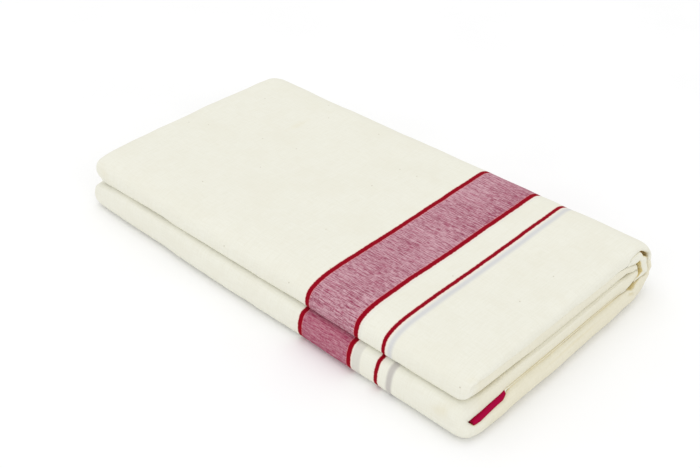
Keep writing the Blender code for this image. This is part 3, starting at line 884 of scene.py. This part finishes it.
def woven_cotton(name, cloth, paint):
    """Handwoven cotton: matt with a faint nap, uneven threads both ways, slubs and seed flecks.

    The paint lays the piece's own colours over the plain cloth, by its map and its weft.
    """
    material = bpy.data.materials.new(name)
    material.use_nodes = True
    tree = material.node_tree
    shader = tree.nodes["Principled BSDF"]
    for key, value in COTTON.items():
        shader.inputs[key].default_value = value
    place = node(tree, "ShaderNodeUVMap", uv_map="weave")
    weft, lengthwise, cloud = (threads(tree, place, kind) for kind in ("weft", "warp", "cloud"))
    uneven = node(tree, "ShaderNodeMath", (weft, lengthwise), operation="ADD")
    base = dyed(tree, uneven, SLUBS, tuple(cloth.cream), linear(SLUB_CREAM))
    base = dyed(tree, cloud, CLOUDS, base, linear(CLOUD_CREAM))
    # Seed flecks: bits of cotton husk about 1 mm wide, a few on a hand's breadth
    cells = node(tree, "ShaderNodeTexVoronoi", {"Vector": place, "Scale": 1.0 / (FLECK_SPACING * MM)},
                 voronoi_dimensions="2D", feature="F1").node.outputs
    near = node(tree, "ShaderNodeMapRange", (cells["Distance"], *FLECK_EDGE, 1.0, 0.0), **SMOOTH)
    chosen = node(tree, "ShaderNodeSeparateColor", (cells["Color"],))
    few = node(tree, "ShaderNodeMapRange", (chosen, *FLECK_CHOICE, 0.0, FLECK_SHARE), **SMOOTH)
    base = laid(tree, near, few, base, linear(HUSK))
    colour = paint(tree, base, place, weft)
    # Painted shade: the cream is tinted yellower deep in a fold, for the light that bounces there
    painted_shade = node(tree, "ShaderNodeAttribute", output="Fac", attribute_name="painted_shade",
                  attribute_type="GEOMETRY")
    shade = node(tree, "ShaderNodeMix", {0: painted_shade, 6: linear(WHITE), 7: linear(PAINTED_FOLD_SHADE)},
                 **COLOUR)
    colour = node(tree, "ShaderNodeMix", {0: 1.0, 6: colour, 7: shade}, blend_type="MULTIPLY",
                  **COLOUR)
    tree.links.new(colour, shader.inputs["Base Color"])
    height = node(tree, "ShaderNodeMath", (uneven, cloud), operation="ADD")
    bump = node(tree, "ShaderNodeBump",
                {"Strength": BUMP_STRENGTH, "Distance": BUMP_HEIGHT, "Height": height})
    tree.links.new(bump, shader.inputs["Normal"])
    return material


def bordered_paint(cloth, border):
    """The border's colours: crimson, the mixed band, and stripes of the layer below showing."""
    def paint(tree, base, place, weft):
        along, across = node(tree, "ShaderNodeSeparateXYZ", (place,)).node.outputs[:2]
        lower = node(tree, "ShaderNodeMapRange", (across, *ROUND_SPINE, 0.0, 1.0), **SMOOTH)
        position = node(tree, "ShaderNodeTexCoord", output="Object")
        side = node(tree, "ShaderNodeSeparateXYZ", (position,), output=1)
        # The border lies a little askew on the upper stack, the first stripe most
        slope = node(tree, "ShaderNodeMapRange", (along, *BORDER_SLOPE), **SMOOTH)
        skew = node(tree, "ShaderNodeMath", (slope, side), operation="MULTIPLY")
        shift = node(tree, "ShaderNodeMix", {0: lower, 2: skew, 3: LOWER_BORDER_SHIFT})
        along = node(tree, "ShaderNodeMath", (along, shift), operation="ADD")
        # A crimson edge steps thread by thread: a fine comb, drawn 1 mm apart
        comb = node(tree, "ShaderNodeMath", (across, COMB_HALF), operation="PINGPONG")
        loose = node(tree, "ShaderNodeMapRange", (threads(tree, place, "edge"), *EDGE_WANDER),
                     **SMOOTH)
        step = node(tree, "ShaderNodeMath", (comb, COMB_SLOPE, loose), operation="MULTIPLY_ADD")
        edge = node(tree, "ShaderNodeMath", (along, step), operation="ADD")
        # Threads of two colours cross in the band, in short streaks along the cloth
        fine = threads(tree, place, "fine")
        grain = fine
        for kind, share in BAND_GRAIN:
            grain = node(tree, "ShaderNodeMath", (threads(tree, place, kind), share, grain),
                         operation="MULTIPLY_ADD")
        mixed = dyed(tree, grain, BAND_THREADS, tuple(cloth.band_dark), tuple(cloth.band_light))
        # Some streaks are purer crimson
        flames = threads(tree, place, "flame")
        mixed = dyed(tree, flames, BAND_FLAMES, mixed, linear(FLAME_CRIMSON))
        # Painted shade: the lower stack's band is darkened, most where it passes under the upper
        # stack
        band_shade = node(tree, "ShaderNodeMapRange", (side, *BAND_SHADE_SPAN), **SMOOTH)
        mixed = laid(tree, lower, band_shade, mixed, linear(SHADED_BAND_CRIMSON))
        red = dyed(tree, fine, CRIMSON_SHADE, tuple(cloth.crimson), linear(SHADED_CRIMSON))
        colour = base
        ghost = node(tree, "ShaderNodeMix",
                     {0: lower, 6: tuple(cloth.ghost_upper), 7: tuple(cloth.ghost)}, **COLOUR)
        for low, high, soft, above, below in GHOSTS:
            strength = node(tree, "ShaderNodeMapRange", (lower, 0.0, 1.0, above, below), **SMOOTH)
            colour = laid(tree, stripe(tree, along, low, high, soft), strength, colour, ghost)
        start, end, wide = border.band_start, border.band_end, border.edge_stripe
        band = stripe(tree, edge, start + wide / 2, end - wide / 2, BAND_SOFT)
        colour = node(tree, "ShaderNodeMix", {0: band, 6: colour, 7: mixed}, **COLOUR)
        for low, high in ((start, start + wide), (end - wide, end),
                          (border.thin_start, border.thin_start + border.thin_stripe)):
            bleed = stripe(tree, edge, low - BLEED_REACH, high + BLEED_REACH, BLEED_SOFT)
            colour = laid(tree, bleed, BLEED_SHARE, colour, linear(BLED_DYE))
            line = stripe(tree, edge, low, high, CRIMSON_SOFT)
            colour = node(tree, "ShaderNodeMix", {0: line, 6: colour, 7: red}, **COLOUR)
        return colour
    return paint


def striped_fold_paint(tree, base, place, weft):
    """Cream, with the crimson stripe at the fold's start near the front corner."""
    red = dyed(tree, weft, FOLD_SHADE, linear(FOLD_CRIMSON), linear(FOLD_CRIMSON_SHADED))
    position = node(tree, "ShaderNodeTexCoord", output="Object")
    y, z = node(tree, "ShaderNodeSeparateXYZ", (position,)).node.outputs[1:]
    end, gap = LENS_START_Y * MM, GAP_Z * MM
    near = node(tree, "ShaderNodeMapRange",
                (y, end - LENS_SOFT / 2, end + LENS_SOFT / 2, 1.0, 0.0), **SMOOTH)
    low = node(tree, "ShaderNodeMapRange", (z, gap - LENS_SOFT, gap, 1.0, 0.0), **SMOOTH)
    return laid(tree, near, low, base, red)


def deep_shade_paint(cloth):
    """Painted shade: a darker, yellower cream on a layer that only shows through the slits."""
    def paint(tree, base, place, weft):
        return dyed(tree, weft, DEEP_SHADE_MIX, base, tuple(cloth.cream_in_shade))
    return paint


def plain_paint(tree, base, place, weft):
    """Unbleached cream, as the rest of the cloth."""
    return base


def declare(piece, replaced):
    """Attach a finished piece of cloth to the body, and hide the part that it replaces."""
    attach(piece, BODY)
    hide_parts(replaced)


def woven_map(rings, y, z):
    """Lengths in metres along the cloth at each point, and round the section at each column."""
    run = np.linalg.norm(np.diff(rings, axis=0), axis=-1)
    along = np.vstack([np.zeros(len(y)), np.cumsum(run, axis=0)])
    middle, column = np.argmin(np.abs(rings[..., 0]), axis=0), np.arange(len(y))
    centre = along[middle, column] - rings[middle, column, 0]
    round_about = np.concatenate([[0.0], np.cumsum(np.hypot(np.diff(y), np.diff(z)))])
    return (along - centre) * MM, round_about * MM


class DHOTI_OT_outer_cloth(bpy.types.Operator):
    """Make the outermost stretch of cloth, all round both stacks"""
    bl_idname = "dhoti.outer_cloth"
    bl_label = "Outer cloth"

    def execute(self, context):
        cloth = context.scene.dhoti_cloth
        y, z, _, inner = section()
        outside = wall_rings(0.0)
        inside = wall_rings(cloth.wall / MM)
        relief, pressed = cloth_relief(outside, inner, cloth.unevenness / MM)
        normals = grid_normals(outside)
        if normals[len(outside) // 2, int(np.argmax(z)), 2] < 0.0:
            normals = -normals
        moved = normals * relief[..., None]
        outside, inside = outside + moved, inside + moved
        outside[..., 2] = np.maximum(outside[..., 2], 0.0)
        inside[..., 2] = np.maximum(inside[..., 2], cloth.wall / MM)
        along, around = woven_map(outside, y, z)
        mesh = shell_mesh("outer_cloth", warp(outside), warp(inside), along, around,
                          painted_shade_share(outside, pressed))
        material = woven_cotton("handwoven cotton with border", cloth,
                                bordered_paint(cloth, context.scene.dhoti_border))
        piece = new_piece("outer_cloth_fabric", mesh, material)
        declare(piece, "outer_cloth")
        return {"FINISHED"}


def core_rings(inset):
    """Rings of the layers below the outer cloth, drawn together over both ends, in mm."""
    y, z, upper, inner = (column[::CORE_STEP] for column in section())
    in_y, in_z = inward(y, z)
    ends = {}
    for right in (False, True):
        sign = 1.0 if right else -1.0
        goal_y, goal_z, _ = lip_target(y, z, upper, inner, right, 0.0)
        crest = crest_x(y + CREST_FRACTION * (goal_y - y), z + CREST_FRACTION * (goal_z - z), right)
        rings = []
        for angle in np.radians(CORE_ROLL_ANGLES):
            depth = inset + CORE_ROLL * (1.0 - math.cos(angle))
            back = CORE_DEPTH + inset - CORE_INSET + CORE_ROLL * (1.0 - math.sin(angle))
            rings.append(np.stack([crest - sign * back, y + in_y * depth, z + in_z * depth], -1))
        slit_y, slit_z = slit_station(slit_place(y, z, upper), right)[:2]
        middle = np.stack([rings[-1][:, 0], slit_y, slit_z], -1)
        last = rings[-1]
        rings += [last + (middle - last) * share for share in CORE_CLOSING]
        ends[right] = rings
    shares = np.linspace(0.0, 1.0, CORE_RINGS + 2)[1:-1]
    body = [ends[False][0] + (ends[True][0] - ends[False][0]) * share for share in shares]
    return np.array(list(reversed(ends[False])) + body + ends[True])


class DHOTI_OT_hidden_layers(bpy.types.Operator):
    """Make the layer under the outer cloth, which closes the ends behind the folds"""
    bl_idname = "dhoti.hidden_layers"
    bl_label = "Hidden layers"

    def execute(self, context):
        cloth = context.scene.dhoti_cloth
        y, z = (column[::CORE_STEP] for column in section()[:2])
        outside, inside = core_rings(CORE_INSET), core_rings(CORE_INSET + cloth.wall / MM)
        along, around = woven_map(outside, y, z)
        # The whole layer takes the full painted shade
        mesh = shell_mesh("hidden_layers", warp(outside), warp(inside), along, around,
                          np.ones(outside.shape[:2]))
        # Its cream is darkened further as painted shade
        material = woven_cotton("handwoven cotton, painted deep shade", cloth, deep_shade_paint(cloth))
        piece = new_piece("hidden_layers_fabric", mesh, material)
        declare(piece, "hidden_layers")
        return {"FINISHED"}


def fold_path(right, second):
    """Middle, outward direction, half width, depth and slant of a fold at each station, in mm."""
    rows = slit_rows(right)
    span = SECOND_SPAN if second else (rows[0, 0], rows[-1, 0])
    place = np.arange(span[0], span[1], STATION_STEP)
    slit_y, slit_z, out_y, out_z, outer, seam, inner, _, _ = slit_station(place, right)
    middle = (outer + inner) / 2
    if second:
        low, high = seam + FOLD_CLEARANCE, read_table(SECOND_TOP, place)
        recess = read_table(SECOND_RECESS, place)
    else:
        low, high = inner + FOLD_CLEARANCE, seam - FOLD_CLEARANCE
        recess = read_table(STRIPED_RECESS, place) if right else np.full_like(place, LEFT_RECESS)
    half = np.maximum((high - low) / 2, FOLD_LEAST)
    shift = (low + high) / 2 - middle
    y, z = slit_y + out_y * shift, slit_z + out_z * shift
    spots = np.stack([crest_x(y, z, right), y, z], -1)
    slant = (crest_x(y + out_y * half, z + out_z * half, right)
             - crest_x(y - out_y * half, z - out_z * half, right)) / 2
    return spots, np.stack([np.zeros_like(y), out_y, out_z], -1), half, recess, slant


def folded_edge_tree():
    """Nodes that sweep a fold's rounded nose along a path of stations."""
    tree = bpy.data.node_groups.new("folded edge", "GeometryNodeTree")
    for name, way, kind in FOLD_SOCKETS:
        tree.interface.new_socket(name=name, in_out=way, socket_type="NodeSocket" + kind)
    given = node(tree, "NodeGroupInput").node.outputs
    path, columns = given["Path"], given["Nose points"]

    # A grid has a row for each station and a column for each point of the nose
    stations = node(tree, "GeometryNodeAttributeDomainSize", (path,), "Point Count",
                    component="MESH")
    grid = node(tree, "GeometryNodeMeshGrid", {"Vertices X": stations, "Vertices Y": columns})
    number = node(tree, "GeometryNodeInputIndex")
    middle = node(tree, "ShaderNodeMath", (number, 0.5), operation="ADD")
    ratio = node(tree, "ShaderNodeMath", (middle, columns), operation="DIVIDE")
    row = node(tree, "ShaderNodeMath", (ratio,), operation="FLOOR")
    passed = node(tree, "ShaderNodeMath", (row, columns), operation="MULTIPLY")
    column = node(tree, "ShaderNodeMath", (number, passed), operation="SUBTRACT")
    sampled = {}
    for name, kind in (("position", "FLOAT_VECTOR"), ("out", "FLOAT_VECTOR"), ("half", "FLOAT"),
                       ("recess", "FLOAT"), ("distance", "FLOAT"), ("slant", "FLOAT")):
        source = node(tree, "GeometryNodeInputNamedAttribute", {"Name": name}, data_type=kind)
        sampled[name] = node(tree, "GeometryNodeSampleIndex",
                             {"Geometry": path, "Value": source, "Index": row}, data_type=kind)
    spot, half, recess = sampled["position"], sampled["half"], sampled["recess"]

    # The first and the last column go back to the root, and the nose turns between them
    spans = node(tree, "ShaderNodeMath", (columns, 3.0), operation="SUBTRACT")
    passed = node(tree, "ShaderNodeMath", (column, 1.0), operation="SUBTRACT")
    share = node(tree, "ShaderNodeMath", (passed, spans), operation="DIVIDE")
    clamped = node(tree, "ShaderNodeClamp", (share,))
    on_nose = node(tree, "ShaderNodeMath", (share, clamped, SHARE_MARGIN), operation="COMPARE")
    centred = node(tree, "ShaderNodeMath", (clamped, 0.5), operation="SUBTRACT")
    angle = node(tree, "ShaderNodeMath", (centred, math.pi), operation="MULTIPLY")
    sine = node(tree, "ShaderNodeMath", (angle,), operation="SINE")
    cosine = node(tree, "ShaderNodeMath", (angle,), operation="COSINE")

    # A wide fold has a flat face with rounded edges
    reach = node(tree, "ShaderNodeMath", (half, FOLD_BULGE), operation="MINIMUM")
    fallen = node(tree, "ShaderNodeMath", (1.0, cosine), operation="SUBTRACT")
    bulge = node(tree, "ShaderNodeMath", (reach, fallen), operation="MULTIPLY")
    nose = node(tree, "ShaderNodeMath", (given["Roundness"], bulge, recess),
                operation="MULTIPLY_ADD")
    back = node(tree, "ShaderNodeMix", {0: on_nose, 2: given["Root depth"], 3: nose})

    # Along the path the nose wanders a little in and out
    waves = node(tree, "ShaderNodeMath", (1.0, given["Ruffle length"]), operation="DIVIDE")
    ripple_place = node(tree, "ShaderNodeVectorMath", {0: spot, "Scale": waves}, operation="SCALE")
    ripple = node(tree, "ShaderNodeTexNoise",
                  {"Vector": ripple_place, "W": given["Seed"], "Scale": 1.0, "Detail": 2.0},
                  noise_dimensions="4D")
    wander = node(tree, "ShaderNodeMath", (ripple, 0.5), operation="SUBTRACT")
    ruffle = node(tree, "ShaderNodeMath", (wander, given["Ruffle height"]), operation="MULTIPLY")
    forward = node(tree, "ShaderNodeMath", (ruffle, back), operation="SUBTRACT")
    depth = node(tree, "ShaderNodeMath", (forward, given["Outward sign"]), operation="MULTIPLY")
    depth = node(tree, "ShaderNodeMath", (sampled["slant"], sine, depth), operation="MULTIPLY_ADD")
    aside = node(tree, "ShaderNodeMath", (half, sine), operation="MULTIPLY")
    side = node(tree, "ShaderNodeVectorMath", {0: sampled["out"], "Scale": aside},
                operation="SCALE")
    deep = node(tree, "ShaderNodeCombineXYZ", (depth,))
    shifted = node(tree, "ShaderNodeVectorMath", (spot, side), operation="ADD")
    target = node(tree, "ShaderNodeVectorMath", (shifted, deep), operation="ADD")
    swept = node(tree, "GeometryNodeSetPosition", {"Geometry": grid, "Position": target})

    # The cloth's own map runs along the path and round the nose
    around = node(tree, "ShaderNodeMath", (half, angle), operation="MULTIPLY")
    woven = node(tree, "ShaderNodeCombineXYZ", (sampled["distance"], around))
    mapped = node(tree, "GeometryNodeStoreNamedAttribute",
                  {"Geometry": swept, "Name": "weave", "Value": woven},
                  data_type="FLOAT2", domain="CORNER")

    # Painted shade: deep beside the nose the cream is tinted yellower
    steep = node(tree, "ShaderNodeMath", (sine,), operation="ABSOLUTE")
    beside = node(tree, "ShaderNodeMath", (steep, BESIDE_POWER), operation="POWER")
    sunk = node(tree, "ShaderNodeMath", (recess, FLUSH_RECESS), operation="DIVIDE")
    behind = node(tree, "ShaderNodeMath", (1.0, sunk), operation="MINIMUM")
    painted_shade = node(tree, "ShaderNodeMath", (beside, behind), operation="MULTIPLY")
    shaded = node(tree, "GeometryNodeStoreNamedAttribute",
                  {"Geometry": mapped, "Name": "painted_shade", "Value": painted_shade},
                  data_type="FLOAT", domain="POINT")
    smooth = node(tree, "GeometryNodeSetShadeSmooth", {"Geometry": shaded})
    real = node(tree, "GeometryNodeRealizeInstances", {"Geometry": smooth})
    done = node(tree, "GeometryNodeSetMaterial", {"Geometry": real, "Material": given["Cloth"]})
    node(tree, "NodeGroupOutput", (done,))
    return tree


def path_mesh(name, place, out, half, recess, slant):
    """The stations of a fold as a line of points with their attributes, in metres."""
    mesh = bpy.data.meshes.new(name)
    spots = warp(place)
    mesh.from_pydata(spots.tolist(), [(index, index + 1) for index in range(len(spots) - 1)], [])
    step = np.linalg.norm(np.diff(spots, axis=0), axis=-1)
    values = {"half": half * MM, "recess": recess * MM, "slant": slant * MM,
              "distance": np.concatenate([[0.0], np.cumsum(step)])}
    for key, column in values.items():
        mesh.attributes.new(key, "FLOAT", "POINT").data.foreach_set("value", column)
    mesh.attributes.new("out", "FLOAT_VECTOR", "POINT").data.foreach_set("vector", out.ravel())
    return mesh


def plain_mesh(name, source):
    """The evaluated object's mesh on its own; the source object is removed."""
    graph = bpy.context.evaluated_depsgraph_get()
    mesh = bpy.data.meshes.new_from_object(source.evaluated_get(graph), depsgraph=graph)
    mesh.name = name
    bpy.data.objects.remove(source)
    return mesh


class DHOTI_OT_inner_folds(bpy.types.Operator):
    """Sweep the folds that show in the slits at both short ends"""
    bl_idname = "dhoti.inner_folds"
    bl_label = "Folds in the slits"

    def execute(self, context):
        cloth, folds = context.scene.dhoti_cloth, context.scene.dhoti_folds
        tree = folded_edge_tree()
        keys = {item.name: item.identifier for item in tree.interface.items_tree
                if item.in_out == "INPUT"}
        plain = woven_cotton("handwoven cotton, folded", cloth, plain_paint)
        striped = woven_cotton("handwoven cotton, crimson stripe", cloth, striped_fold_paint)
        kinds = (
            # node, right end, second fold, cloth
            ("right_striped_fold", True, False, striped),
            ("right_second_fold", True, True, plain),
            ("left_inner_fold", False, False, plain),
        )
        for replaced, right, second, material in kinds:
            mesh = path_mesh(replaced + "_path", *fold_path(right, second))
            source = bpy.data.objects.new(replaced + "_path", mesh)
            context.scene.collection.objects.link(source)
            modifier = source.modifiers.new("Folded edge", "NODES")
            modifier.node_group = tree
            for key, value in (("Nose points", FOLD_NOSE_POINTS), ("Root depth", FOLD_ROOT * MM),
                               ("Outward sign", 1.0 if right else -1.0),
                               ("Roundness", folds.roundness),
                               ("Ruffle height", folds.ruffle_height),
                               ("Ruffle length", folds.ruffle_length),
                               ("Seed", folds.seed), ("Cloth", material)):
                modifier[keys[key]] = value
            solid = source.modifiers.new("Wall", "SOLIDIFY")
            solid.thickness = folds.wall
            solid.offset = -1.0
            made = plain_mesh(replaced + "_fabric", source)
            piece = new_piece(replaced + "_fabric", made, material)
            declare(piece, replaced)
        return {"FINISHED"}


class DHOTI_OT_stage(bpy.types.Operator):
    """Add the pale floor, soft lights and camera"""
    bl_idname = "dhoti.stage"
    bl_label = "Floor, lights and camera"

    def execute(self, context):
        stage = context.scene.dhoti_stage
        half = stage.floor_size / 2
        mesh = bpy.data.meshes.new("floor")
        mesh.from_pydata([(-half, -half, 0.0), (half, -half, 0.0), (half, half, 0.0),
                          (-half, half, 0.0)], [], [(0, 1, 2, 3)])
        floor = new_piece("floor", mesh, matt_board())
        for name, spot, size, share in LAMPS:
            light = bpy.data.lights.new(name, "AREA")
            light.shape = "DISK"
            light.size = size
            light.energy = stage.lamp_power * share
            lamp = bpy.data.objects.new(name, light)
            lamp.location = spot
            lamp.rotation_euler = (-Vector(spot)).to_track_quat("-Z", "Y").to_euler()
            context.scene.collection.objects.link(lamp)
        world = bpy.data.worlds.new("even light")
        world.use_nodes = True
        background = world.node_tree.nodes["Background"]
        background.inputs["Color"].default_value = linear(WHITE)
        background.inputs["Strength"].default_value = stage.sky
        context.scene.world = world
        context.scene.view_settings.view_transform = "Standard"
        camera_data = bpy.data.cameras.new("camera")
        camera_data.sensor_width = CAMERA_SENSOR
        camera_data.lens = CAMERA_LENS
        camera_data.clip_start = CAMERA_NEAREST
        camera = bpy.data.objects.new("camera", camera_data)
        camera.location = CAMERA_PLACE
        aim = Vector(CAMERA_AIM) - camera.location
        camera.rotation_euler = aim.to_track_quat("-Z", "Y").to_euler()
        context.scene.collection.objects.link(camera)
        context.scene.camera = camera
        return {"FINISHED"}


def matt_board():
    """Matt white board: nearly white, with a very faint mottle and no shine."""
    material = bpy.data.materials.new("matt white board")
    material.use_nodes = True
    tree = material.node_tree
    shader = tree.nodes["Principled BSDF"]
    for key, value in BOARD.items():
        shader.inputs[key].default_value = value
    place = node(tree, "ShaderNodeTexCoord", output="Object")
    mottle = node(tree, "ShaderNodeTexNoise",
                  {"Vector": place, "Scale": 1.0 / (BOARD_PATCH * MM), "Detail": 3.0})
    colour = dyed(tree, mottle, BOARD_MOTTLE, linear(BOARD_WHITE), linear(BOARD_GREY))
    tree.links.new(colour, shader.inputs["Base Color"])
    return material


class DHOTI_PT_panel(bpy.types.Panel):
    """Lists the settings and pieces of the folded dhoti"""
    bl_label = "Folded dhoti"
    bl_idname = "DHOTI_PT_panel"
    bl_space_type = "VIEW_3D"
    bl_region_type = "UI"
    bl_category = "Dhoti"

    def draw(self, context):
        for name in GROUPS:
            group = getattr(context.scene, name)
            for key in group.__annotations__:
                self.layout.prop(group, key)
        for operator in OPERATORS:
            self.layout.operator(operator.bl_idname)


GROUPS = {
    "dhoti_cloth": ClothSettings,
    "dhoti_border": BorderSettings,
    "dhoti_folds": FoldSettings,
    "dhoti_stage": StageSettings,
}
OPERATORS = (DHOTI_OT_outer_cloth, DHOTI_OT_hidden_layers, DHOTI_OT_inner_folds, DHOTI_OT_stage)


def register():
    """Register every class and hang the settings on the scene."""
    for made in (*GROUPS.values(), *OPERATORS, DHOTI_PT_panel):
        bpy.utils.register_class(made)
    for name, group in GROUPS.items():
        setattr(bpy.types.Scene, name, bpy.props.PointerProperty(type=group))


def unregister():
    """Take the settings off the scene and unregister every class."""
    for name in GROUPS:
        delattr(bpy.types.Scene, name)
    for made in reversed((*GROUPS.values(), *OPERATORS, DHOTI_PT_panel)):
        bpy.utils.unregister_class(made)


def main():
    """Make every piece, then the stage."""
    register()
    bpy.ops.dhoti.outer_cloth()
    bpy.ops.dhoti.hidden_layers()
    bpy.ops.dhoti.inner_folds()
    bpy.ops.dhoti.stage()


if __name__ == "__main__":
    main()
